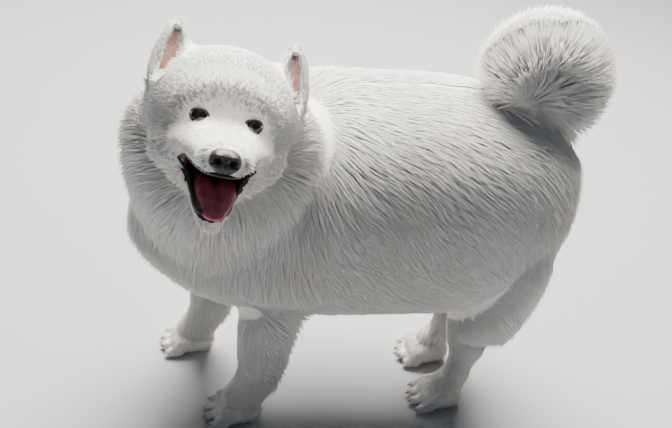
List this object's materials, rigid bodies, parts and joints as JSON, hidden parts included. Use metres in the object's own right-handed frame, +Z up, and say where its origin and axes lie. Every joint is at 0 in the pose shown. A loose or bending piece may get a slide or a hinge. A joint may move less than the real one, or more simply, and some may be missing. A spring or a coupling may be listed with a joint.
{
  "type": "samoyed dog",
  "caption": "Standing samoyed, life size, head turned to its left with the mouth open, long white coat in locks and tail curled over the back.",
  "frame": {"origin": "on the floor, under the middle of the dog's box", "axes": "+X forward along the body, +Y to the dog's left, where the head looks, +Z up"},
  "size_m": [0.7269, 0.5049, 0.7073],
  "materials": {
    "coat": "long soft double coat, cream-white",
    "nose_leather": "damp pebbled black nose leather",
    "eye": "wet dark brown eye",
    "tongue": "wet pink tongue"
  },
  "bodies": {
    "root": {"head": "coat", "lower_jaw": "coat", "tongue": "tongue", "nose": "nose_leather", "neck": "coat", "chest": "coat", "barrel": "coat", "rump": "coat", "thigh_left": "coat", "thigh_right": "coat", "tail_root": "coat", "tail_middle": "coat", "tail_tip": "coat", "eye_left": "eye", "ear_left": "coat", "foreleg_left": "coat", "fore_paw_left": "coat", "hind_leg_left": "coat", "hind_paw_left": "coat", "eye_right": "eye", "ear_right": "coat", "foreleg_right": "coat", "fore_paw_right": "coat", "hind_leg_right": "coat", "hind_paw_right": "coat"}
  },
  "joints": []
}
